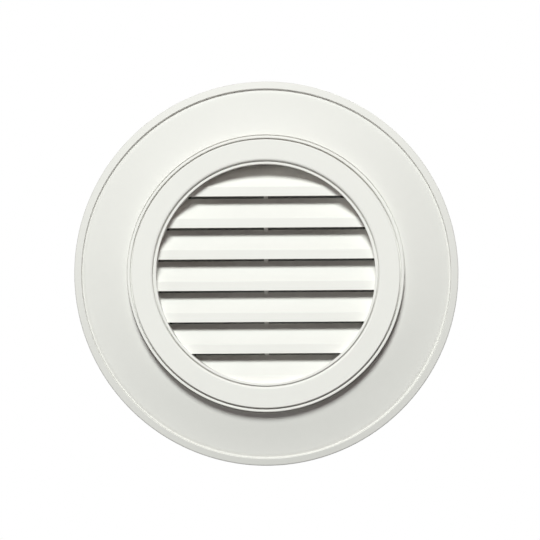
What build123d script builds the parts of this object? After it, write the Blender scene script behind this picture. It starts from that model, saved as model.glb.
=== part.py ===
from build123d import *
import os
from math import cos, hypot, radians, sin, sqrt

os.makedirs("parts", exist_ok=True)

# A round gable vent: a moulded louver base with its insect screen, a wide surround that stands
# against the wall, and a raised trim ring that clips over both. All sizes are in millimetres.
#
# +Z is up, +Y goes into the wall and the front faces -Y. The origin is the middle of the opening,
# on the plane of the wall. A height is a distance in front of that plane, so y = -height.

# Louver base
wall = 2.5                       # thickness of the mouldings
collar_inner_r = 222.5
collar_outer_r = 225.3
collar_height = 45.0
collar_depth = 20.0              # how far the collar's spigot goes into the wall
spigot_r = 224.5
flange_r = 273.0
wall_screw_circle_r = 252.0
wall_screw_count = 6
wall_screw_hole_r = 2.75
gusset_count = 6
gusset_reach = 13.0
gusset_height = 11.0
gusset_thickness = 2.0

# Louver blades
blade_count = 7
blade_pitch = 63.85
top_blade_foot = 157.3           # z of the top blade's lower edge
blade_height = 28.0              # the blades' front lips stand this far in front of the wall
lip_height = 19.4
blade_rear_y = 13.3
rib_width = 8.5                  # the upright channel behind the blades
rib_top = 212.0                  # it ends behind the top blade
rib_front_y = 9.0
rib_wall = 2.0

# Surround
surround_r = 391.4
skirt_thickness = 2.5
seat_height = 26.0               # flat seat of the trim ring
seat_inner_r = 267.6
face_foot_r = 373.3              # lower end of the flared face, at the step of the rim
face_top_slope = 0.260           # fall of the face for each mm of radius, beside the trim ring
face_foot_slope = 0.162          # and at the step
face_facets = 3
rim_crest_r = 376.3
rim_crest_height = 9.7
rim_edge_height = 7.5
rim_edge_bevel = 2.6
back_rib_count = 12
back_rib_thickness = 2.2
back_rib_gap = 3.0               # the ribs stay this far off the wall, clear of the flange

# Trim ring
trim_outer_r = 279.4
trim_inner_r = 221.8
lip_level = 49.0                 # the low lips at both edges
band_level = 52.5                # the raised band between them
inner_crease_r = 228.9
band_inner_r = 234.5
band_outer_r = 268.9
outer_crease_r = 273.7
trim_web_count = 12
trim_web_thickness = 1.8
trim_web_depth = 12.0

# Snap fingers of the trim ring, and the ratchets that they catch on
finger_count = 8
finger_first_angle = 22.5
finger_width = 16.0
finger_inner_r = 227.2
finger_outer_r = 229.6
finger_end_height = 10.5
hook_tip_r = 225.8
hook_drop = 3.2
ratchet_width = 20.0
ratchet_foot = 10.0
ratchet_pitch = 6.0
ratchet_teeth = 4
ratchet_root_r = 225.4
ratchet_tip_r = 226.8

# Insect screen
screen_r = 223.8                 # inside the spigot, so that the wall's opening clears it
screen_rim_r = 219.0
screen_thickness = 0.8
mesh_pitch = 54.0
mesh_gap = 49.0

overlap = 0.4                    # how far a fused feature reaches into the wall that carries it


def section(angle=0.0):
    """A plane through the vent's axis. Its x is a radius and its y is a height."""
    a = radians(angle)
    return Plane(origin=(0, 0, 0), x_dir=(cos(a), 0, sin(a)), z_dir=(sin(a), 0, -cos(a)))


def sections(count, first=0.0):
    """Section planes of things spaced evenly around the axis."""
    return [section(first + 360 * i / count) for i in range(count)]


# Louver base: the blades first, cut to the round of the collar's wall.
with BuildPart() as louver_base:
    slope_drop = wall * sqrt(2)
    for k in range(blade_count):
        foot = top_blade_foot - k * blade_pitch
        # The top blade runs on up to the collar, so that no gap shows above it.
        rear = collar_depth if k == 0 else blade_rear_y
        rise = rear + blade_height
        with BuildSketch(Plane.YZ):
            with BuildLine():
                Polyline(
                    (-blade_height, foot),
                    (-blade_height, foot + lip_height),
                    (rear, foot + lip_height + rise),
                    (rear, foot + lip_height + rise - slope_drop),
                    (wall - blade_height, foot + lip_height + wall - slope_drop),
                    (wall - blade_height, foot),
                    close=True,
                )
            make_face()
        extrude(amount=collar_outer_r, both=True)

    # The upright channel stiffens the blades from behind.
    rib_depth = collar_depth - rib_front_y
    rib_length = rib_top + collar_outer_r
    with BuildSketch(Plane.XZ.offset(-rib_front_y)):
        with Locations((0, rib_top - rib_length / 2)):
            Rectangle(rib_width, rib_length)
    extrude(amount=-rib_depth)
    with BuildSketch(Plane.XZ.offset(-rib_front_y - wall)):
        with Locations((0, rib_top - rib_length / 2)):
            Rectangle(rib_width - 2 * rib_wall, rib_length)
    extrude(amount=wall - rib_depth, mode=Mode.SUBTRACT)

    with BuildSketch(Plane.XZ.offset(blade_height + 1)):
        Circle(collar_inner_r + overlap)
    extrude(amount=-(blade_height + 1 + collar_depth), mode=Mode.INTERSECT)

    # Collar and nailing flange are one profile around the axis.
    with BuildSketch(section()):
        with BuildLine():
            Polyline(
                (collar_inner_r, collar_height),
                (collar_outer_r, collar_height),
                (collar_outer_r, wall),
                (flange_r, wall),
                (flange_r, 0),
                (spigot_r, 0),
                (spigot_r, -collar_depth),
                (collar_inner_r, -collar_depth),
                close=True,
            )
        make_face()
    revolve(axis=Axis.Y)

    # Ratchets for the snap fingers: a ramp towards the front, and a catch towards the wall.
    ratchet_end = ratchet_foot + ratchet_pitch * ratchet_teeth
    with BuildSketch(*sections(finger_count, finger_first_angle)):
        with BuildLine():
            teeth = [(collar_outer_r - overlap, ratchet_foot)]
            for tooth in range(ratchet_teeth):
                low = ratchet_foot + ratchet_pitch * tooth
                teeth += [(ratchet_tip_r, low), (ratchet_root_r, low + ratchet_pitch)]
            teeth += [(collar_outer_r - overlap, ratchet_end)]
            Polyline(*teeth, close=True)
        make_face()
    extrude(amount=ratchet_width / 2, both=True)

    # Gussets between the nailing flange and the collar.
    with BuildSketch(*sections(gusset_count)):
        with BuildLine():
            Polyline(
                (collar_outer_r - overlap, wall - overlap),
                (collar_outer_r + gusset_reach, wall - overlap),
                (collar_outer_r, gusset_height),
                (collar_outer_r - overlap, gusset_height),
                close=True,
            )
        make_face()
    extrude(amount=gusset_thickness / 2, both=True)

    # Holes for the wall screws, right through the nailing flange.
    with BuildSketch(Plane.XZ.offset(wall)):
        with PolarLocations(wall_screw_circle_r, wall_screw_count):
            Circle(wall_screw_hole_r)
    extrude(amount=-wall, mode=Mode.SUBTRACT)

louver_base.part.label = "louver_base"
export_step(louver_base.part, "parts/louver_base.step")


# Surround: a thin shell with a flat seat, a face that flares down to the wall, and a proud rim.
# Its inner wall stands on the nailing flange, and the trim ring clamps it there.
def flare(facets, drop=0.0):
    """Points down the flared face, lowered by drop, from the trim ring to the step of the rim."""
    reach = face_foot_r - trim_outer_r
    points = []
    for i in range(facets + 1):
        x = reach * i / facets
        fall = face_top_slope * x - (face_top_slope - face_foot_slope) * x * x / (2 * reach)
        points.append((trim_outer_r + x, seat_height - fall - drop))
    return points


with BuildPart() as surround:
    inner_skirt_r = surround_r - skirt_thickness
    inner_wall_r = seat_inner_r + wall
    back_middle = flare(2, wall)[1]
    back_foot_height = flare(1, wall)[-1][1]
    with BuildSketch(section()):
        with BuildLine():
            Polyline(
                (seat_inner_r, wall),
                (seat_inner_r, seat_height),
                *flare(face_facets),
                (rim_crest_r, rim_crest_height),
                (surround_r - rim_edge_bevel, rim_edge_height),
                (surround_r, rim_edge_height - rim_edge_bevel),
                (surround_r, 0),
                (inner_skirt_r, 0),
                (inner_skirt_r, back_foot_height),
                back_middle,
                (inner_wall_r, seat_height - wall),
                (inner_wall_r, wall),
                close=True,
            )
        make_face()
    revolve(axis=Axis.Y)

    # Radial ribs behind the face.
    with BuildSketch(*sections(back_rib_count, 180 / back_rib_count)):
        with BuildLine():
            Polyline(
                (inner_wall_r - overlap, back_rib_gap),
                (inner_wall_r - overlap, seat_height - wall / 2),
                (trim_outer_r, seat_height - wall / 2),
                flare(2, wall / 2)[1],
                (inner_skirt_r + overlap, back_foot_height + overlap),
                (inner_skirt_r + overlap, back_rib_gap),
                close=True,
            )
        make_face()
    extrude(amount=back_rib_thickness / 2, both=True)

surround.part.label = "surround"
export_step(surround.part, "parts/surround.step")


# Trim ring: a raised band with rounded shoulders between two low lips, open at the back.
with BuildPart() as trim_ring:
    trim_skirt_r = trim_outer_r - wall
    with BuildSketch(section()):
        with BuildLine():
            Polyline(
                (trim_inner_r, lip_level - wall),
                (trim_inner_r, lip_level),
                (inner_crease_r, lip_level),
                (band_inner_r, band_level),
                (band_outer_r, band_level),
                (outer_crease_r, lip_level),
                (trim_outer_r, lip_level),
                (trim_outer_r, seat_height),
                (trim_skirt_r, seat_height),
                (trim_skirt_r, lip_level - wall),
                (band_outer_r, band_level - wall),
                (band_inner_r, band_level - wall),
                (inner_crease_r + 1, lip_level - wall),
                close=True,
            )
        make_face()
    revolve(axis=Axis.Y)

    # Webs that stiffen the hollow back.
    web_level = lip_level - trim_web_depth
    with BuildSketch(*sections(trim_web_count, 180 / trim_web_count)):
        with BuildLine():
            Polyline(
                (trim_skirt_r + overlap, web_level),
                (trim_skirt_r + overlap, lip_level - wall + overlap),
                (band_outer_r, band_level - wall + overlap),
                (band_inner_r, band_level - wall + overlap),
                (inner_crease_r + 1, lip_level - wall + overlap),
                (band_inner_r, web_level),
                close=True,
            )
        make_face()
    extrude(amount=trim_web_thickness / 2, both=True)

    # Snap fingers around the collar, each with a hook under one of its ratchet's catches.
    hook_level = ratchet_foot + ratchet_pitch - 0.2
    with BuildSketch(*sections(finger_count, finger_first_angle)):
        with BuildLine():
            Polyline(
                (finger_inner_r, lip_level - wall + overlap),
                (finger_inner_r, hook_level),
                (hook_tip_r, hook_level),
                (finger_inner_r, hook_level - hook_drop),
                (finger_inner_r, finger_end_height),
                (finger_outer_r, finger_end_height),
                (finger_outer_r, lip_level - wall + overlap),
                close=True,
            )
        make_face()
    extrude(amount=finger_width / 2, both=True)

trim_ring.part.label = "trim_ring"
export_step(trim_ring.part, "parts/trim_ring.step")


# Insect screen: a thin disc with a grid of gaps inside the rim that is bonded to the collar.
cells = int(screen_rim_r / mesh_pitch) + 1
steps = [i * mesh_pitch for i in range(-cells, cells + 1)]
gaps = [
    (x, z)
    for x in steps
    for z in steps
    if hypot(abs(x) + mesh_gap / 2, abs(z) + mesh_gap / 2) < screen_rim_r
]
with BuildPart() as insect_screen:
    with BuildSketch(Plane.XZ.offset(-collar_depth)):
        Circle(screen_r)
        with Locations(*gaps):
            Rectangle(mesh_gap, mesh_gap, mode=Mode.SUBTRACT)
    extrude(amount=-screen_thickness)

insect_screen.part.label = "insect_screen"
export_step(insect_screen.part, "parts/insect_screen.step")
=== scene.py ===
from math import atan2, ceil, cos, exp, pi, radians, sin, sqrt, tan

import bmesh
import bpy
from bpy.props import FloatProperty, FloatVectorProperty, IntProperty, PointerProperty
from mathutils import Matrix, Vector


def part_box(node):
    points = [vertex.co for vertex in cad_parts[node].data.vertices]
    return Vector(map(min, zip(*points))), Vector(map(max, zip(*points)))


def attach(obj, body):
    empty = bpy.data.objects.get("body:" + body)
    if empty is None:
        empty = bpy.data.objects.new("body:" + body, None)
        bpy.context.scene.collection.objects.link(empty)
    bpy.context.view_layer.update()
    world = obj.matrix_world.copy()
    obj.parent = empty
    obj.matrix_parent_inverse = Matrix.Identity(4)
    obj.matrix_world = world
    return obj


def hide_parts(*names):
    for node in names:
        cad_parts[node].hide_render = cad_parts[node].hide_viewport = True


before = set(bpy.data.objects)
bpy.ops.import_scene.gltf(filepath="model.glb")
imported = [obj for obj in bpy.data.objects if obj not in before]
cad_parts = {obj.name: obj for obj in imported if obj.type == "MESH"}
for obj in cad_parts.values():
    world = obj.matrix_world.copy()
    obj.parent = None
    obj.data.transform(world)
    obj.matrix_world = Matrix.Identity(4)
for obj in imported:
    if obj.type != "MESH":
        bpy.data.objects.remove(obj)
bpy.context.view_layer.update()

bl_info = {
    "name": "Round Gable Vent",
    "version": (1, 0, 0),
    "blender": (4, 5, 0),
    "location": "3D View > Sidebar > Gable Vent",
    "description": "Dresses a round gable vent with its mouldings, screen and finishes",
    "category": "Add Mesh",
}

# Sizes are in metres. The vent's axis is Y and its front faces -Y, so a height, which is a
# distance in front of the wall, is -y. The frame gives the sizes that the mouldings share.
MM = 0.001
SURROUND_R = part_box("surround")[1][0]
SEAT_HEIGHT = -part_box("surround")[0][1]
TRIM_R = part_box("trim_ring")[1][0]
BAND_LEVEL = -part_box("trim_ring")[0][1]
LIP_DROP = 3.5 * MM     # the trim ring's lips are this much lower than its band
FLANGE_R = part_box("louver_base")[1][0]
COLLAR_HEIGHT = -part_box("louver_base")[0][1]
COLLAR_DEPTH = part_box("louver_base")[1][1]
SCREEN_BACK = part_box("insect_screen")[1][1]
SCREEN_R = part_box("insect_screen")[1][0]

# The mouldings share these.
RIB_COUNT, RIB_TURN = 12, radians(15)            # the surround's ribs and the trim ring's webs
FINGER_COUNT, FINGER_TURN = 8, radians(22.5)     # the snap fingers and the ratchets
OVERLAP = 0.4 * MM      # how far a rib, web, finger or ratchet reaches into its wall


# Settings


class VentSizes(bpy.types.PropertyGroup):
    """Sizes of the mouldings that a user would change."""

    blade_count: IntProperty(
        name="Blades", description="Number of louver blades", default=7, min=2)
    blade_pitch: FloatProperty(
        name="Blade pitch", description="Distance from one blade to the next",
        default=63.85 * MM, unit="LENGTH")
    top_blade_foot: FloatProperty(
        name="Top blade",
        description="Height of the top blade's lower edge above the vent's axis",
        default=157.3 * MM, unit="LENGTH")
    lip_height: FloatProperty(
        name="Blade lip", description="Height of each blade's upright front lip",
        default=19.4 * MM, unit="LENGTH")
    blade_front: FloatProperty(
        name="Blade front", description="Distance of the blades' lips in front of the wall",
        default=28 * MM, unit="LENGTH")
    mould_wall: FloatProperty(
        name="Wall", description="Thickness of the mouldings", default=2.5 * MM, unit="LENGTH")
    wire_pitch: FloatProperty(
        name="Wire pitch", description="Distance between the wires of the insect screen",
        default=1.8 * MM, unit="LENGTH")
    wire_width: FloatProperty(
        name="Wire", description="Thickness of a wire of the insect screen",
        default=0.32 * MM, unit="LENGTH")


class VentFinish(bpy.types.PropertyGroup):
    """Colours and surface of the vent."""

    moulding_colour: FloatVectorProperty(
        name="Moulding", description="Colour of the moulded plastic", subtype="COLOR", size=3,
        default=(0.788, 0.778, 0.75), min=0, max=1)
    wire_colour: FloatVectorProperty(
        name="Screen wire", description="Colour of the coated screen wire", subtype="COLOR",
        size=3, default=(0.035, 0.034, 0.033), min=0, max=1)
    # Painted light and shade: one white, painted lighter on the louver base and darker on the
    # surround than on the trim ring, as the light falls on each.
    painted_tones: FloatVectorProperty(
        name="Tones", description="Shade of the surround, the trim ring and the louver base",
        size=3, default=(0.93, 1.01, 1.04), min=0, max=1.2)
    grain_depth: FloatProperty(
        name="Grain", description="Strength of the fine moulded grain", default=0.10, min=0,
        max=1)


class VentStage(bpy.types.PropertyGroup):
    """Camera and light around the vent."""

    camera_distance: FloatProperty(
        name="Camera distance", description="Distance from the camera to the vent",
        default=5.6, unit="LENGTH")
    camera_azimuth: FloatProperty(
        name="Camera azimuth", description="Turn of the camera to the vent's right",
        default=radians(1.2), subtype="ANGLE")
    camera_elevation: FloatProperty(
        name="Camera elevation", description="Height angle of the camera",
        default=radians(0.2), subtype="ANGLE")
    vent_roll: FloatProperty(
        name="Roll", description="Turn of the vent in the picture, anticlockwise",
        default=radians(0.37), subtype="ANGLE")
    key_elevation: FloatProperty(
        name="Key elevation", description="Height angle of the key light",
        default=radians(31.6), subtype="ANGLE")
    key_azimuth: FloatProperty(
        name="Key azimuth", description="Turn of the key light to the vent's right",
        default=radians(-3.0), subtype="ANGLE")
    key_power: FloatProperty(
        name="Key power", description="Power of the key light in watts", default=1630, min=0)
    left_power: FloatProperty(
        name="Left power", description="Power of the lamp on the left in watts", default=21,
        min=0)
    right_power: FloatProperty(
        name="Right power", description="Power of the lamp on the right in watts", default=54,
        min=0)
    back_power: FloatProperty(
        name="Back power", description="Power of the lamp behind the vent in watts", default=440,
        min=0)
    ambient: FloatProperty(
        name="Ambient", description="Strength of the even light from all round", default=0.05,
        min=0)
    lamp_colour: FloatVectorProperty(
        name="Lamps", description="Colour of the lamps, a little cool", subtype="COLOR", size=3,
        default=(0.955, 1.0, 0.972), min=0, max=1)
    ambient_colour: FloatVectorProperty(
        name="Ambient tint", description="Colour of the even light, which warms the shadows",
        subtype="COLOR", size=3, default=(1, 0.2, 0.3), min=0, max=1)


# Outlines of the round mouldings, as (radius, height) points


def arc(centre, radius, start, end, steps):
    """Points on an arc between two angles in degrees, both ends included."""
    turns = [radians(start + (end - start) * i / steps) for i in range(steps + 1)]
    return [(centre[0] + radius * cos(t), centre[1] + radius * sin(t)) for t in turns]


def rounded(corners, steps=5, margin=0.35 * MM):
    """A closed outline from (radius, height, rounding) corners, each rounded by an arc.

    A narrow strip is left beside each arc, so that the wide faces stay flat in the light.
    """
    nearly_straight = radians(89)    # half a corner's angle, above which it needs no arc
    largest_share = 0.45             # of each edge beside a corner, taken by its arc
    outline = []
    count = len(corners)
    for i, (x, y, rounding) in enumerate(corners):
        here = Vector((x, y))
        to_last = Vector(corners[i - 1][:2]) - here
        to_next = Vector(corners[(i + 1) % count][:2]) - here
        if rounding <= 0:
            outline.append((x, y))
            continue
        room_last, room_next = to_last.length, to_next.length
        to_last.normalize()
        to_next.normalize()
        half = to_last.angle(to_next) / 2
        if half > nearly_straight:
            outline.append((x, y))
            continue
        reach = min(
            rounding / tan(half), largest_share * room_last, largest_share * room_next)
        radius = reach * tan(half)
        centre = here + (to_last + to_next).normalized() * (radius / sin(half))
        start = here + to_last * reach - centre
        end = here + to_next * reach - centre
        turn = atan2(start.x * end.y - start.y * end.x, start.dot(end))
        if room_last > 2 * reach + 3 * margin:
            outline.append(tuple(here + to_last * (reach + margin)))
        pieces = max(2, ceil(steps * abs(turn) / (pi / 2)))
        for k in range(pieces + 1):
            spoke = start.copy()
            spoke.rotate(Matrix.Rotation(turn * k / pieces, 2))
            outline.append(tuple(centre + spoke))
        if room_next > 2 * reach + 3 * margin:
            outline.append(tuple(here + to_next * (reach + margin)))
    return outline


def flare(facets, drop=0.0):
    """Points down the surround's flared face, from the trim ring to the step of its rim.

    With a drop they lie that far behind the face.
    """
    top_slope, foot_slope = 0.260, 0.162
    dip, fading = 3.0 * MM, 8.0 * MM    # the face starts a little lower, beside the ring's foot
    rim_width = 18.3 * MM
    reach = SURROUND_R - rim_width - TRIM_R
    points = []
    for i in range(facets + 1):
        x = reach * i / facets
        fall = top_slope * x - (top_slope - foot_slope) * x * x / (2 * reach)
        fall += dip * exp(-x / fading)
        points.append((TRIM_R + x, SEAT_HEIGHT - fall - drop))
    return points


def unrounded(points):
    """Points of a curve as corners for rounded(), which leaves them as they are."""
    return [(x, y, 0) for x, y in points]


# Meshes


def new_object(name, data):
    """A new object at the origin, from a mesh, camera or lamp."""
    piece = bpy.data.objects.new(name, data)
    bpy.context.scene.collection.objects.link(piece)
    return piece


def spun(name, outline, segments=384):
    """A closed ring, spun about the vent's axis from a closed outline of (radius, height)."""
    rows = len(outline)
    verts = []
    for s in range(segments):
        turn = 2 * pi * s / segments
        verts += [(r * cos(turn), -h, r * sin(turn)) for r, h in outline]
    faces = []
    for s in range(segments):
        here, beyond = s * rows, (s + 1) % segments * rows
        for i in range(rows):
            j = (i + 1) % rows
            faces.append((here + i, here + j, beyond + j, beyond + i))
    mesh = bpy.data.meshes.new(name)
    mesh.from_pydata(verts, [], faces)
    face_outwards(mesh)
    return new_object(name, mesh)


def plate(name, outline, thickness, place):
    """A flat plate, thickened both ways from an outline of (x, y) points.

    The function place turns a point and its distance across the plate into a place in the vent.
    """
    rows = len(outline)
    verts = [place(x, y, side * thickness / 2) for side in (-1, 1) for x, y in outline]
    faces = [tuple(range(rows)), tuple(range(2 * rows - 1, rows - 1, -1))]
    faces += [(i, (i + 1) % rows, rows + (i + 1) % rows, rows + i) for i in range(rows)]
    mesh = bpy.data.meshes.new(name)
    mesh.from_pydata(verts, [], faces)
    face_outwards(mesh)
    return new_object(name, mesh)


def radial(x, y, across):
    """Puts a point of a radial plate, drawn as (radius, height), beside the vent's +X axis."""
    return (x, -y, across)


def crosswise(x, y, across):
    """Puts a point of a plate that is drawn as (y, z) and runs from side to side."""
    return (across, x, y)


def face_outwards(mesh):
    """Merges a closed mesh's doubled points and turns its faces outwards."""
    shape = bmesh.new()
    shape.from_mesh(mesh)
    bmesh.ops.remove_doubles(shape, verts=shape.verts, dist=1e-7)
    bmesh.ops.recalc_face_normals(shape, faces=shape.faces)
    if shape.calc_volume(signed=True) < 0:
        bmesh.ops.reverse_faces(shape, faces=shape.faces)
    shape.to_mesh(mesh)
    shape.free()


def smooth(piece, angle=35):
    """Rounds the shading of a piece, apart from its sharp edges."""
    piece.data.polygons.foreach_set("use_smooth", [True] * len(piece.data.polygons))
    piece.data.set_sharp_from_angle(angle=radians(angle))


def joined(name, pieces):
    """One object from several, all at the origin. The others are removed."""
    shape = bmesh.new()
    for piece in pieces:
        shape.from_mesh(piece.data)
    mesh = bpy.data.meshes.new(name)
    shape.to_mesh(mesh)
    shape.free()
    for piece in pieces:
        bpy.data.objects.remove(piece)
    return new_object(name, mesh)


# Geometry node trees


class Nodes:
    """Builds a node tree, one call for each node."""

    def __init__(self, tree):
        self.tree = tree

    def add(self, kind, settings=(), **inputs):
        node = self.tree.nodes.new(kind)
        for name, value in dict(settings).items():
            setattr(node, name, value)
        for name, value in inputs.items():
            self.feed(find_input(node, name), value)
        return node

    def feed(self, into, value):
        if isinstance(value, Value):
            value = value.socket
        if isinstance(value, bpy.types.NodeSocket):
            self.tree.links.new(value, into)
        else:
            into.default_value = value


def find_input(node, name):
    """An input by its name, written with underscores, or by its number, as in_1."""
    if name.startswith("in_"):
        return node.inputs[int(name[3:])]
    wanted = name.replace("_", " ").lower()
    return next(s for s in node.inputs if s.name.lower() == wanted and s.enabled)


class Value:
    """A number in a node tree. Arithmetic on it adds Math nodes."""

    def __init__(self, nodes, socket):
        self.nodes = nodes
        self.socket = socket

    def maths(self, operation, *others):
        settings = {"operation": operation}
        inputs = {f"in_{i}": v for i, v in enumerate((self, *others))}
        node = self.nodes.add("ShaderNodeMath", settings, **inputs)
        return Value(self.nodes, node.outputs[0])

    def backwards(self, operation, other):
        node = self.nodes.add("ShaderNodeMath", {"operation": operation}, in_0=other, in_1=self)
        return Value(self.nodes, node.outputs[0])

    def __add__(self, other):
        return self.maths("ADD", other)

    def __radd__(self, other):
        return self.backwards("ADD", other)

    def __sub__(self, other):
        return self.maths("SUBTRACT", other)

    def __rsub__(self, other):
        return self.backwards("SUBTRACT", other)

    def __mul__(self, other):
        return self.maths("MULTIPLY", other)

    def __rmul__(self, other):
        return self.backwards("MULTIPLY", other)

    def __truediv__(self, other):
        return self.maths("DIVIDE", other)

    def __pow__(self, other):
        return self.maths("POWER", other)


def geometry_tree(name, sizes):
    """A geometry tree with one geometry input and output, and a named input for each size."""
    tree = bpy.data.node_groups.new(name, "GeometryNodeTree")
    face = tree.interface
    face.new_socket("Geometry", in_out="OUTPUT", socket_type="NodeSocketGeometry")
    face.new_socket("Geometry", in_out="INPUT", socket_type="NodeSocketGeometry")
    for label, value in sizes.items():
        kind = "NodeSocketInt" if isinstance(value, int) else "NodeSocketFloat"
        face.new_socket(label, in_out="INPUT", socket_type=kind)
    face.new_socket("Material", in_out="INPUT", socket_type="NodeSocketMaterial")
    nodes = Nodes(tree)
    start = nodes.add("NodeGroupInput")
    return nodes, {s.name: Value(nodes, s) for s in start.outputs if s.name}


def finish_tree(nodes, geometry, material):
    """Ends a tree in Realize Instances and Set Material."""
    real = nodes.add("GeometryNodeRealizeInstances", Geometry=geometry)
    painted = nodes.add("GeometryNodeSetMaterial", Geometry=real.outputs[0], Material=material)
    end = nodes.add("NodeGroupOutput")
    nodes.tree.links.new(painted.outputs[0], end.inputs[0])
    return nodes.tree


def applied(piece, tree, sizes, material):
    """Runs a geometry tree on a piece and keeps the result as its plain mesh."""
    modifier = piece.modifiers.new(tree.name, "NODES")
    modifier.node_group = tree
    values = dict(sizes, Material=material)
    for item in tree.interface.items_tree:
        if item.in_out == "INPUT" and item.name in values:
            modifier[item.identifier] = values[item.name]
    graph = bpy.context.evaluated_depsgraph_get()
    mesh = bpy.data.meshes.new_from_object(piece.evaluated_get(graph))
    piece.modifiers.remove(modifier)
    old = piece.data
    piece.data = mesh
    bpy.data.meshes.remove(old)
    return piece


def repeated_around(piece, count, first, material):
    """Copies a piece around the vent's axis."""
    sizes = {"Count": count, "First": first}
    nodes, given = geometry_tree("Copies Around", sizes)
    index = Value(nodes, nodes.add("GeometryNodeInputIndex").outputs[0])
    angle = index * (2 * pi) / given["Count"] + given["First"]
    turn = nodes.add("ShaderNodeCombineXYZ", Y=angle)
    points = nodes.add("GeometryNodePoints", Count=given["Count"])
    copies = nodes.add(
        "GeometryNodeInstanceOnPoints", Points=points.outputs[0], Instance=given["Geometry"],
        Rotation=turn.outputs[0])
    tree = finish_tree(nodes, copies.outputs[0], given["Material"])
    return applied(piece, tree, sizes, material)


def stacked_in_collar(piece, count, pitch, radius, material):
    """Copies a piece downwards, and cuts the copies to a round bore about the vent's axis."""
    bore_depth, bore_sides = 0.2, 384
    sizes = {"Count": count, "Pitch": pitch, "Bore": radius}
    nodes, given = geometry_tree("Stack In Collar", sizes)
    index = Value(nodes, nodes.add("GeometryNodeInputIndex").outputs[0])
    place = nodes.add("ShaderNodeCombineXYZ", Z=index * given["Pitch"] * -1)
    points = nodes.add("GeometryNodePoints", Count=given["Count"], Position=place.outputs[0])
    copies = nodes.add(
        "GeometryNodeInstanceOnPoints", Points=points.outputs[0], Instance=given["Geometry"])
    real = nodes.add("GeometryNodeRealizeInstances", Geometry=copies.outputs[0])
    bore = nodes.add(
        "GeometryNodeMeshCylinder", Vertices=bore_sides, Radius=given["Bore"], Depth=bore_depth)
    upright = nodes.add(
        "GeometryNodeTransform", Geometry=bore.outputs[0], Rotation=(pi / 2, 0, 0))
    cut = nodes.add("GeometryNodeMeshBoolean", {"operation": "INTERSECT", "solver": "EXACT"})
    nodes.tree.links.new(real.outputs[0], cut.inputs["Mesh 2"])
    nodes.tree.links.new(upright.outputs[0], cut.inputs["Mesh 2"])
    tree = finish_tree(nodes, cut.outputs[0], given["Material"])
    return applied(piece, tree, sizes, material)


def drilled(piece, count, circle, first, hole, material):
    """Drills round holes through a piece, spaced evenly on a circle about the vent's axis."""
    drill_depth, drill_sides = 30 * MM, 32
    sizes = {"Count": count, "Circle": circle, "First": first, "Hole": hole}
    nodes, given = geometry_tree("Holes Around", sizes)
    index = Value(nodes, nodes.add("GeometryNodeInputIndex").outputs[0])
    angle = index * (2 * pi) / given["Count"] + given["First"]
    place = nodes.add(
        "ShaderNodeCombineXYZ", X=angle.maths("COSINE") * given["Circle"],
        Z=angle.maths("SINE") * given["Circle"])
    points = nodes.add("GeometryNodePoints", Count=given["Count"], Position=place.outputs[0])
    drill = nodes.add(
        "GeometryNodeMeshCylinder", Vertices=drill_sides, Radius=given["Hole"],
        Depth=drill_depth)
    upright = nodes.add(
        "GeometryNodeTransform", Geometry=drill.outputs[0], Rotation=(pi / 2, 0, 0))
    drills = nodes.add(
        "GeometryNodeInstanceOnPoints", Points=points.outputs[0], Instance=upright.outputs[0])
    real = nodes.add("GeometryNodeRealizeInstances", Geometry=drills.outputs[0])
    cut = nodes.add("GeometryNodeMeshBoolean", {"operation": "DIFFERENCE", "solver": "EXACT"})
    nodes.tree.links.new(given["Geometry"].socket, cut.inputs["Mesh 1"])
    nodes.tree.links.new(real.outputs[0], cut.inputs["Mesh 2"])
    tree = finish_tree(nodes, cut.outputs[0], given["Material"])
    return applied(piece, tree, sizes, material)


# Finishes


def finish_start(name):
    """A new material, its node builder, its shader and its Object coordinates."""
    material = bpy.data.materials.new(name)
    material.use_nodes = True
    material.node_tree.nodes.clear()
    nodes = Nodes(material.node_tree)
    out = nodes.add("ShaderNodeOutputMaterial")
    shader = nodes.add("ShaderNodeBsdfPrincipled")
    nodes.tree.links.new(shader.outputs[0], out.inputs[0])
    place = nodes.add("ShaderNodeTexCoord").outputs["Object"]
    return material, nodes, shader, place


def noise(nodes, place, scale, detail=2.0, roughness=0.5):
    """A noise of about 0 to 1, with scale waves to the metre."""
    node = nodes.add(
        "ShaderNodeTexNoise", Vector=place, Scale=scale, Detail=detail, Roughness=roughness)
    return Value(nodes, node.outputs[0])


def moulding_finish(name, finish, painted_tone):
    """Satin white plastic, coloured right through, with the fine grain of its mould."""
    material, nodes, shader, place = finish_start(name)
    clouds = noise(nodes, place, 9, 3)
    mottle = noise(nodes, place, 60, 2)
    grain = noise(nodes, place, 1100, 3, 0.6)
    ripple = noise(nodes, place, 26, 1)
    shade = 0.975 + clouds * 0.03 + mottle * 0.02
    # The tone paints light and shade into the white; the clouds and mottle are the plastic's own
    # uneven tone.
    nodes.feed(shader.inputs["Base Color"], tinted(nodes, finish.moulding_colour, shade * painted_tone))
    nodes.feed(shader.inputs["Roughness"], 0.56 + mottle * 0.08 + grain * 0.05)
    height = grain * 0.06 + ripple * 0.4
    bump = nodes.add(
        "ShaderNodeBump", Strength=finish.grain_depth, Distance=0.6 * MM, Height=height)
    nodes.feed(shader.inputs["Normal"], bump.outputs[0])
    shader.inputs["IOR"].default_value = 1.46
    shader.inputs["Specular IOR Level"].default_value = 0.25
    return material


def grey(nodes, value):
    """A grey colour from a number."""
    node = nodes.add("ShaderNodeCombineColor", Red=value, Green=value, Blue=value)
    return node.outputs[0]


def tinted(nodes, colour, shade):
    """A colour, scaled by a number."""
    node = nodes.add(
        "ShaderNodeMix", {"data_type": "RGBA", "blend_type": "MULTIPLY"}, in_0=1.0,
        in_6=(*colour, 1), in_7=grey(nodes, shade))
    return node.outputs[2]


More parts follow.
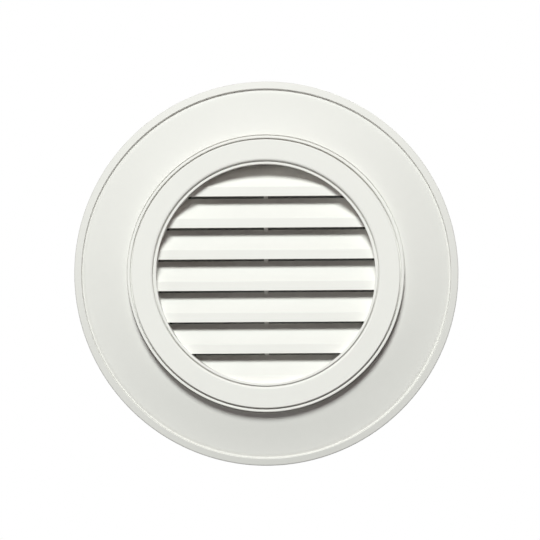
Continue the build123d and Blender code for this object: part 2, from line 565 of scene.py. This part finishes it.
def wire_finish(name, finish, painted_tone):
    """Dark coated wire, rubbed a little paler here and there."""
    material, nodes, shader, place = finish_start(name)
    wear = noise(nodes, place, 35, 3)
    speck = noise(nodes, place, 700, 2)
    shade = 0.75 + wear * 0.5 + speck * 0.15
    nodes.feed(shader.inputs["Base Color"], tinted(nodes, finish.wire_colour, shade * painted_tone))
    nodes.feed(shader.inputs["Roughness"], 0.42 + speck * 0.2)
    return material


def material_of(name, make, painted_tone=1.0):
    """The named material, made the first time it is needed. Its colour is scaled by a tone,
    which paints light and shade into the mouldings' white.
    """
    finish = bpy.context.scene.vent_finish
    return bpy.data.materials.get(name) or make(name, finish, painted_tone)


def painted_tones_of(context):
    """Tones that paint light and shade into one white: darker on the surround, lighter on the
    louvers.
    """
    return context.scene.vent_finish.painted_tones


def settle(piece, material, node):
    """Gives a piece its finish, and makes it stand for a CAD node and ride on the vent."""
    piece.data.materials.append(material)
    smooth(piece)
    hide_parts(node)
    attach(piece, "root")


# Pieces


class VENT_OT_surround(bpy.types.Operator):
    """Make the wide surround: a flared shell with a proud rim, and ribs behind it"""

    bl_idname = "vent.surround"
    bl_label = "Surround"

    def execute(self, context):
        # The surround's white is painted a little darker, as shade.
        white = material_of("Surround White", moulding_finish, painted_tones_of(context)[0])
        wall = context.scene.vent_sizes.mould_wall
        seat_inner = 267.6 * MM
        inner_wall = seat_inner + wall
        inner_skirt = SURROUND_R - wall
        # The face ends at the foot of the proud rim, where a step leads up to the rim's crest.
        face = flare(28)
        foot_r, foot_h = face[-1]
        step_h = foot_h - 1.5 * MM
        back_foot_h = step_h - 0.7 * wall
        crest_r, crest_h = SURROUND_R - 14.4 * MM, 11.4 * MM
        edge_h = 8.0 * MM
        # A narrow groove in the seat runs round the foot of the trim ring, in a thicker wall.
        groove_h = SEAT_HEIGHT - 6.5 * MM
        under_groove = groove_h - 2 * MM
        thick_inner, thick_inner_h = 277.4 * MM, 22.0 * MM
        thick_outer, thick_outer_h = 285.2 * MM, 19.0 * MM
        corners = [
            (seat_inner, wall, 0.3 * MM),
            (seat_inner, SEAT_HEIGHT, 0.4 * MM),
            (TRIM_R + 0.2 * MM, SEAT_HEIGHT, 0.3 * MM),
            (TRIM_R + 0.3 * MM, groove_h, 0.3 * MM),
            (TRIM_R + 2.8 * MM, groove_h, 0.4 * MM),
            (*face[1], 0.3 * MM),
            *unrounded(face[2:-1]),
            (foot_r + 0.3 * MM, step_h, 0.3 * MM),
            (crest_r - 1.8 * MM, step_h, 0.3 * MM),
            (crest_r, crest_h, 0.6 * MM),
            (SURROUND_R, edge_h, 3.0 * MM),
            (SURROUND_R, 0, 0.5 * MM),
            (inner_skirt, 0, 0.5 * MM),
            (inner_skirt, back_foot_h, 0.5 * MM),
            (foot_r, back_foot_h, 0),
            *unrounded(reversed(flare(4, wall)[1:-1])),
            (thick_outer, thick_outer_h, 0.3 * MM),
            (thick_outer, under_groove, 0.3 * MM),
            (thick_inner, under_groove, 0.3 * MM),
            (thick_inner, thick_inner_h, 0.3 * MM),
            (inner_wall, SEAT_HEIGHT - wall, 0.8 * MM),
            (inner_wall, wall, 0.3 * MM),
        ]
        shell = spun("Surround Shell", rounded(corners))
        # The ribs' tops stay inside the wall, and their feet stay clear of flange and wall.
        flange_gap, skirt_gap, rib_thickness = 3 * MM, 1.5 * MM, 2.2 * MM
        rib_outline = [
            (inner_wall - OVERLAP, flange_gap),
            (inner_wall - OVERLAP, SEAT_HEIGHT - wall / 2),
            (thick_inner - OVERLAP, SEAT_HEIGHT - wall / 2),
            (thick_inner + OVERLAP, under_groove + MM),
            (thick_outer - 0.2 * MM, under_groove + MM),
            (thick_outer + 1.3 * MM, thick_outer_h + 1.5 * MM),
            *flare(6, wall / 2)[1:-1],
            (foot_r, back_foot_h + 0.6 * MM),
            (inner_skirt + OVERLAP, back_foot_h + 0.6 * MM),
            (inner_skirt + OVERLAP, skirt_gap),
        ]
        ribs = plate("Back Ribs", rib_outline, rib_thickness, radial)
        repeated_around(ribs, RIB_COUNT, RIB_TURN, white)
        surround = joined("surround_shell", [shell, ribs])
        settle(surround, white, "surround")
        return {"FINISHED"}


class VENT_OT_trim_ring(bpy.types.Operator):
    """Make the trim ring: a raised band between two low lips, with webs and snap fingers"""

    bl_idname = "vent.trim_ring"
    bl_label = "Trim Ring"

    def execute(self, context):
        white = material_of("Trim White", moulding_finish, painted_tones_of(context)[1])
        wall = context.scene.vent_sizes.mould_wall
        inner, skirt = 221.8 * MM, TRIM_R - wall
        lip = BAND_LEVEL - LIP_DROP
        inner_groove, outer_groove = lip - 6.5 * MM, lip - 8.0 * MM
        under_groove = lip - 9.5 * MM
        # The band's rounded shoulders drop steeply into a narrow groove beside each lip.
        flat_inner, flat_outer = 234.2 * MM, 269.2 * MM
        turn_inner, turn_outer = 233.8 * MM, 269.6 * MM
        inner_curve, outer_curve = 5.2 * MM, 2.2 * MM
        inner_shoulder = arc(
            (turn_inner, BAND_LEVEL - inner_curve), inner_curve, 178, 90, 10)
        outer_shoulder = arc((turn_outer, BAND_LEVEL - outer_curve), outer_curve, 90, 4, 8)
        # Each lip has a rounded crown, and widens a little towards its foot in the groove.
        crown_inner, crown_outer = 224.4 * MM, 276.9 * MM
        lean = 0.1 * MM
        inner_groove_near, inner_groove_far = 226.7 * MM, 228.5 * MM
        outer_groove_near, outer_groove_far = 272.0 * MM, 274.6 * MM
        lip_back, lip_back_foot = 225.7 * MM, 225.9 * MM
        # The hollow behind the band narrows from the level of the grooves' undersides.
        hollow_inner, hollow_outer = 229.6 * MM, 271.4 * MM
        hollow_top_inner, hollow_top_outer = 234.5 * MM, 268.9 * MM
        hollow_top = BAND_LEVEL - wall
        corners = [
            (inner, lip - wall, 0.4 * MM),
            (inner, lip - 0.2 * MM, 0.9 * MM),
            (crown_inner, lip, 4.0 * MM),
            (inner_groove_near - lean, lip - 0.2 * MM, 0.4 * MM),
            (inner_groove_near, inner_groove, 0.2 * MM),
            (inner_groove_far, inner_groove, 0.2 * MM),
            *unrounded(inner_shoulder),
            (flat_inner, BAND_LEVEL, 0),
            (flat_outer, BAND_LEVEL, 0),
            *unrounded(outer_shoulder),
            (outer_groove_near, outer_groove, 0.3 * MM),
            (outer_groove_far, outer_groove, 0.3 * MM),
            (outer_groove_far + lean, lip - 0.4 * MM, 0.5 * MM),
            (crown_outer, lip, 3.0 * MM),
            (TRIM_R, lip - 0.4 * MM, 0.25 * MM),
            (TRIM_R, SEAT_HEIGHT, 0.3 * MM),
            (skirt, SEAT_HEIGHT, 0.3 * MM),
            (skirt, under_groove, 0.5 * MM),
            (hollow_outer, under_groove, 0.5 * MM),
            (hollow_top_outer, hollow_top, 0.5 * MM),
            (hollow_top_inner, hollow_top, 0.5 * MM),
            (hollow_inner, under_groove, 0.4 * MM),
            (lip_back_foot, under_groove, 0.4 * MM),
            (lip_back, lip - wall, 0.3 * MM),
        ]
        ring = spun("Trim Band", rounded(corners))
        web_level, web_thickness = lip - 12 * MM, 1.8 * MM
        web_outline = [
            (skirt + OVERLAP, web_level),
            (skirt + OVERLAP, under_groove + OVERLAP),
            (hollow_outer, under_groove + OVERLAP),
            (hollow_top_outer, hollow_top + OVERLAP),
            (hollow_top_inner, hollow_top + OVERLAP),
            (hollow_inner, under_groove + OVERLAP),
            (hollow_top_inner, web_level),
        ]
        webs = plate("Webs", web_outline, web_thickness, radial)
        repeated_around(webs, RIB_COUNT, RIB_TURN, white)
        # Each finger hangs behind the inner groove. Its hook points inwards, to the ratchets.
        finger_inner, finger_outer, finger_end = 227.2 * MM, 229.6 * MM, 10.5 * MM
        finger_width = 16 * MM
        hook_tip, hook_level, hook_drop = 225.8 * MM, 15.8 * MM, 3.2 * MM
        finger_outline = [
            (finger_inner, under_groove + OVERLAP),
            (finger_inner, hook_level),
            (hook_tip, hook_level),
            (finger_inner, hook_level - hook_drop),
            (finger_inner, finger_end),
            (finger_outer, finger_end),
            (finger_outer, under_groove + OVERLAP),
        ]
        fingers = plate("Snap Fingers", finger_outline, finger_width, radial)
        repeated_around(fingers, FINGER_COUNT, FINGER_TURN, white)
        trim = joined("trim_band", [ring, webs, fingers])
        settle(trim, white, "trim_ring")
        return {"FINISHED"}


class VENT_OT_louver_base(bpy.types.Operator):
    """Make the louver base: the collar, its nailing flange, and the blades that cross it"""

    bl_idname = "vent.louver_base"
    bl_label = "Louver Base"

    def execute(self, context):
        # The louvers' white is painted a little lighter, as light.
        white = material_of("Louver White", moulding_finish, painted_tones_of(context)[2])
        sizes = context.scene.vent_sizes
        wall = sizes.mould_wall
        inner, outer, spigot = 222.5 * MM, 225.3 * MM, 224.5 * MM
        corners = [
            (inner, COLLAR_HEIGHT, 0.5 * MM),
            (outer, COLLAR_HEIGHT, 0.5 * MM),
            (outer, wall, 0.8 * MM),
            (FLANGE_R, wall, 0.5 * MM),
            (FLANGE_R, 0, 0.5 * MM),
            (spigot, 0, 0.8 * MM),
            (spigot, -COLLAR_DEPTH, 0.3 * MM),
            (inner, -COLLAR_DEPTH, 0.3 * MM),
        ]
        collar = spun("Collar", rounded(corners))
        screw_count, screw_circle, screw_hole = 6, 252 * MM, 2.75 * MM
        drilled(collar, screw_count, screw_circle, 0.0, screw_hole, white)
        ratchet_width = 20 * MM
        ratchets = plate("Ratchets", self.ratchet_outline(outer), ratchet_width, radial)
        repeated_around(ratchets, FINGER_COUNT, FINGER_TURN, white)
        gusset_foot, gusset_height, gusset_thickness = 13 * MM, 11 * MM, 2 * MM
        gusset_outline = [
            (outer - OVERLAP, wall - OVERLAP),
            (outer + gusset_foot, wall - OVERLAP),
            (outer, gusset_height),
            (outer - OVERLAP, gusset_height),
        ]
        gussets = plate("Gussets", gusset_outline, gusset_thickness, radial)
        repeated_around(gussets, screw_count, 0.0, white)
        # The blades and the channel are cut to a bore that lies just inside the collar's wall.
        bore = inner + 0.3 * MM
        rear, full_rear = 13.3 * MM, COLLAR_DEPTH - 0.3 * MM
        blade = self.blade_outline(sizes, rear, sizes.blade_pitch)
        blades = plate("Blades", blade, 2 * outer, crosswise)
        stacked_in_collar(blades, sizes.blade_count - 1, sizes.blade_pitch, bore, white)
        top_blade = plate(
            "Top Blade", self.blade_outline(sizes, full_rear, 0), 2 * outer, crosswise)
        stacked_in_collar(top_blade, 1, sizes.blade_pitch, bore, white)
        section = self.channel_outline(wall, full_rear)
        channel = plate("Channel", section, 2 * outer, self.behind_blades)
        stacked_in_collar(channel, 1, sizes.blade_pitch, bore, white)
        pieces = [collar, ratchets, gussets, blades, top_blade, channel]
        settle(joined("louver_moulding", pieces), white, "louver_base")
        return {"FINISHED"}

    @staticmethod
    def behind_blades(x, y, along):
        """Puts a point of the upright channel, drawn as (x, y). It ends behind the top blade."""
        channel_top = 212 * MM
        return (x, y, min(along, channel_top))

    @staticmethod
    def ratchet_outline(outer):
        """A saw of teeth outside the collar, with their flat sides to the wall."""
        count, foot, pitch = 4, 10, 6
        tip, root = 226.8 * MM, 225.4 * MM
        teeth = [(outer - OVERLAP, foot * MM)]
        for tooth in range(count):
            low = (foot + pitch * tooth) * MM
            teeth += [(tip, low), (root, low + pitch * MM)]
        return teeth + [(outer - OVERLAP, (foot + pitch * count) * MM)]

    @staticmethod
    def blade_outline(sizes, rear, drop):
        """A blade's section as (y, z): an upright lip, then a slope that climbs to the rear.

        It is drop lower than the top blade.
        """
        wall, front = sizes.mould_wall, -sizes.blade_front
        foot = sizes.top_blade_foot - drop
        crease = foot + sizes.lip_height
        rise = rear - front
        under = wall * sqrt(2)
        corners = [
            (front, foot, 0.6 * MM),
            (front, crease, 1.5 * MM),
            (rear, crease + rise, 0.6 * MM),
            (rear, crease + rise - under, 0.4 * MM),
            (front + wall, crease + wall - under, 1.0 * MM),
            (front + wall, foot, 0.6 * MM),
        ]
        return rounded(corners)

    @staticmethod
    def channel_outline(wall, rear):
        """The section, as (x, y), of the channel that stands behind the blades."""
        half, side, front = 4.25 * MM, 2.0 * MM, 9.0 * MM
        corners = [
            (-half, rear, 0.3 * MM),
            (-half, front, 0.5 * MM),
            (half, front, 0.5 * MM),
            (half, rear, 0.3 * MM),
            (half - side, rear, 0.3 * MM),
            (half - side, front + wall, 0.5 * MM),
            (side - half, front + wall, 0.5 * MM),
            (side - half, rear, 0.3 * MM),
        ]
        return rounded(corners, steps=3)


class VENT_OT_insect_screen(bpy.types.Operator):
    """Make the insect screen: fine crossed wires inside a thin rim"""

    bl_idname = "vent.insect_screen"
    bl_label = "Insect Screen"

    def execute(self, context):
        dark = material_of("Screen Wire", wire_finish)
        sizes = context.scene.vent_sizes
        front, rim_inner = COLLAR_DEPTH, 219 * MM
        corners = [
            (rim_inner, -front, 0.15 * MM),
            (SCREEN_R, -front, 0.15 * MM),
            (SCREEN_R, -SCREEN_BACK, 0.3 * MM),
            (rim_inner, -SCREEN_BACK, 0.3 * MM),
        ]
        rim = spun("Screen Rim", rounded(corners, 3, 0), 192)
        middle, apart = (front + SCREEN_BACK) / 2, 0.14 * MM
        pieces = [rim]
        layers = (("Upright", 0.0, middle - apart), ("Level", pi / 2, middle + apart))
        for name, turn, depth in layers:
            # Each half of the wire is 1 m long here. The tree scales it to the screen's chord.
            wire = plate(f"{name} Wires", self.section(sizes.wire_width), 2.0, self.along_z)
            pieces.append(self.crossed(wire, sizes.wire_pitch, turn, depth, dark))
        settle(joined("screen_mesh", pieces), dark, "insect_screen")
        return {"FINISHED"}

    @staticmethod
    def section(width):
        """A six-sided wire."""
        return arc((0, 0), width / 2, 0, 300, 5)

    @staticmethod
    def along_z(x, y, along):
        """Puts a point of a plate that is drawn as (x, y) and runs up and down."""
        return (x, y, along)

    @staticmethod
    def crossed(wire, pitch, turn, depth, material):
        """Lays copies of a wire side by side, each as long as the screen is wide there."""
        reach = 219.5 * MM
        count = 2 * int(reach / pitch) + 1
        sizes = {
            "Count": count, "Pitch": pitch, "Reach": reach, "Turn": turn, "Depth": depth}
        nodes, given = geometry_tree("Screen Wires", sizes)
        index = Value(nodes, nodes.add("GeometryNodeInputIndex").outputs[0])
        across = (index - (given["Count"] - 1) / 2) * given["Pitch"]
        half_chord = (given["Reach"] ** 2 - across ** 2).maths("SQRT")
        place = nodes.add("ShaderNodeCombineXYZ", X=across)
        size = nodes.add("ShaderNodeCombineXYZ", X=1.0, Y=1.0, Z=half_chord)
        points = nodes.add(
            "GeometryNodePoints", Count=given["Count"], Position=place.outputs[0])
        copies = nodes.add(
            "GeometryNodeInstanceOnPoints", Points=points.outputs[0],
            Instance=given["Geometry"], Scale=size.outputs[0])
        real = nodes.add("GeometryNodeRealizeInstances", Geometry=copies.outputs[0])
        turned = nodes.add("ShaderNodeCombineXYZ", Y=given["Turn"])
        moved = nodes.add("ShaderNodeCombineXYZ", Y=given["Depth"])
        laid = nodes.add(
            "GeometryNodeTransform", Geometry=real.outputs[0], Rotation=turned.outputs[0],
            Translation=moved.outputs[0])
        tree = finish_tree(nodes, laid.outputs[0], given["Material"])
        return applied(wire, tree, sizes, material)


# Stage


def towards(turn, rise):
    """A unit vector from the vent, turned to the right of its front and lifted by rise."""
    return Vector((sin(turn) * cos(rise), -cos(turn) * cos(rise), sin(rise)))


class VENT_OT_stage(bpy.types.Operator):
    """Set the camera, the lights, the floor and the card behind the vent"""

    bl_idname = "vent.stage"
    bl_label = "Stage"

    def execute(self, context):
        stage = context.scene.vent_stage
        self.add_camera(context, stage)
        # Name, turn to the right, rise above the vent's axis, distance, width and power
        lamps = (
            ("Key Light", stage.key_azimuth, stage.key_elevation, 12.0, 3.6, stage.key_power),
            ("Left Light", radians(-65), radians(-8), 5.0, 1.0, stage.left_power),
            ("Right Light", radians(91), radians(-4), 8.0, 1.6, stage.right_power),
            ("Back Light", radians(150), radians(35), 9.0, 3.0, stage.back_power),
        )
        for lamp in lamps:
            self.add_lamp(stage, *lamp)
        self.add_floor()
        self.add_card()
        self.light_world(context, stage)
        context.scene.view_settings.view_transform = "Standard"
        return {"FINISHED"}

    @staticmethod
    def add_camera(context, stage):
        """The camera of the photograph."""
        # The photograph is 540 px square. The trim ring measures 138.2 px in radius there, and
        # the vent's axis lies at (266.1, 273.6).
        side_px, ring_px = 540, 138.2
        axis_px = (266.1, 273.6)
        sensor = 36.0
        ring_distance = stage.camera_distance - (BAND_LEVEL - LIP_DROP)
        camera = bpy.data.cameras.new("Photo Camera")
        camera.sensor_width = sensor
        camera.lens = sensor / side_px * ring_px * ring_distance / TRIM_R
        camera.clip_start, camera.clip_end = 0.05, 100
        metre_px = camera.lens / sensor * side_px / stage.camera_distance
        middle_px = side_px / 2
        aim = Vector(
            ((middle_px - axis_px[0]) / metre_px, 0, (axis_px[1] - middle_px) / metre_px))
        away = towards(stage.camera_azimuth, stage.camera_elevation)
        holder = new_object("Photo Camera", camera)
        holder.location = aim + away * stage.camera_distance
        look = away.to_track_quat("Z", "Y").to_matrix()
        roll = Matrix.Rotation(-stage.vent_roll, 3, "Z")
        holder.rotation_euler = (look @ roll).to_euler()
        context.scene.camera = holder

    @staticmethod
    def add_lamp(stage, name, turn, rise, distance, width, power):
        """A round lamp that faces the vent."""
        light = bpy.data.lights.new(name, "AREA")
        light.shape = "DISK"
        light.size = width
        light.energy = power
        light.color = stage.lamp_colour
        away = towards(turn, rise)
        holder = new_object(name, light)
        holder.location = away * distance
        holder.rotation_euler = away.to_track_quat("Z", "Y").to_euler()

    @staticmethod
    def add_floor():
        """A pale floor below the vent, from 3 m in front of the wall to 1.6 m behind it."""
        level, half, back = -0.9, 3.0, 1.6
        mesh = bpy.data.meshes.new("Floor")
        corners = [(-half, -half), (half, -half), (half, back), (-half, back)]
        mesh.from_pydata([(x, y, level) for x, y in corners], [], [(0, 1, 2, 3)])
        floor = new_object("Floor", mesh)
        material, nodes, shader, place = finish_start("Pale Floor")
        # The floor looks pale, but throws little light up on the vent, as if it lay far below.
        seen = Value(nodes, nodes.add("ShaderNodeLightPath").outputs["Is Diffuse Ray"])
        shade = (0.9 + noise(nodes, place, 3, 2) * 0.04) * (1 - 0.9 * seen)
        nodes.feed(shader.inputs["Base Color"], grey(nodes, shade))
        shader.inputs["Roughness"].default_value = 0.9
        mesh.materials.append(material)

    @staticmethod
    def add_card():
        """A grey card close behind the screen, in shade. It shows only from in front."""
        # The card is painted shade: a grey sheet that stands for the dark, unlit space behind a
        # vent on a wall.
        radius, depth, sides = 224.5 * MM, SCREEN_BACK + 0.6 * MM, 128
        mesh = bpy.data.meshes.new("Painted Shade Card")
        ring = [2 * pi * i / sides for i in range(sides)]
        points = [(radius * cos(t), depth, radius * sin(t)) for t in ring]
        mesh.from_pydata(points, [], [tuple(range(sides))])
        card = new_object("Painted Shade Card", mesh)
        if mesh.polygons[0].normal.y > 0:
            mesh.flip_normals()
        material, nodes, shader, place = finish_start("Painted Shade Card")
        shade = 0.45 + noise(nodes, place, 40, 2) * 0.08
        nodes.feed(shader.inputs["Base Color"], grey(nodes, shade))
        shader.inputs["Roughness"].default_value = 1.0
        clear = nodes.add("ShaderNodeBsdfTransparent")
        behind = nodes.add("ShaderNodeNewGeometry").outputs["Backfacing"]
        mixed = nodes.add(
            "ShaderNodeMixShader", in_0=behind, in_1=shader.outputs[0],
            in_2=clear.outputs[0])
        out = next(n for n in nodes.tree.nodes if n.type == "OUTPUT_MATERIAL")
        nodes.tree.links.new(mixed.outputs[0], out.inputs[0])
        mesh.materials.append(material)

    @staticmethod
    def light_world(context, stage):
        """White where the camera, gloss or glass looks, and a dim even light elsewhere."""
        world = bpy.data.worlds.new("Studio")
        context.scene.world = world
        world.use_nodes = True
        world.node_tree.nodes.clear()
        nodes = Nodes(world.node_tree)
        path = nodes.add("ShaderNodeLightPath")
        kinds = ("Is Camera Ray", "Is Glossy Ray", "Is Transmission Ray")
        seen = [Value(nodes, path.outputs[kind]) for kind in kinds]
        white = (seen[0] + seen[1] + seen[2]).maths("MINIMUM", 1.0)
        dim = nodes.add(
            "ShaderNodeBackground", Color=(*stage.ambient_colour, 1), Strength=stage.ambient)
        bright = nodes.add("ShaderNodeBackground", Color=(1, 1, 1, 1), Strength=1.0)
        mixed = nodes.add(
            "ShaderNodeMixShader", in_0=white, in_1=dim.outputs[0], in_2=bright.outputs[0])
        out = nodes.add("ShaderNodeOutputWorld")
        nodes.tree.links.new(mixed.outputs[0], out.inputs[0])


# Panel and registration


class VENT_PT_panel(bpy.types.Panel):
    """Lists the vent's pieces in the sidebar"""

    bl_idname = "VENT_PT_panel"
    bl_label = "Round Gable Vent"
    bl_space_type = "VIEW_3D"
    bl_region_type = "UI"
    bl_category = "Gable Vent"

    def draw(self, context):
        scene, column = context.scene, self.layout.column()
        for group in (scene.vent_sizes, scene.vent_finish, scene.vent_stage):
            for name in group.bl_rna.properties.keys():
                if name not in {"rna_type", "name"}:
                    column.prop(group, name)
        for maker in MAKERS:
            column.operator(maker.bl_idname)


MAKERS = (
    VENT_OT_louver_base,
    VENT_OT_surround,
    VENT_OT_trim_ring,
    VENT_OT_insect_screen,
    VENT_OT_stage,
)
GROUPS = {"vent_sizes": VentSizes, "vent_finish": VentFinish, "vent_stage": VentStage}


def register():
    for kind in (*GROUPS.values(), *MAKERS, VENT_PT_panel):
        bpy.utils.register_class(kind)
    for name, kind in GROUPS.items():
        setattr(bpy.types.Scene, name, PointerProperty(type=kind))


def unregister():
    for name in GROUPS:
        delattr(bpy.types.Scene, name)
    for kind in reversed((*GROUPS.values(), *MAKERS, VENT_PT_panel)):
        bpy.utils.unregister_class(kind)


def main():
    register()
    for maker in MAKERS:
        operator = getattr(bpy.ops.vent, maker.bl_idname.split(".")[1])
        operator()


if __name__ == "__main__":
    main()
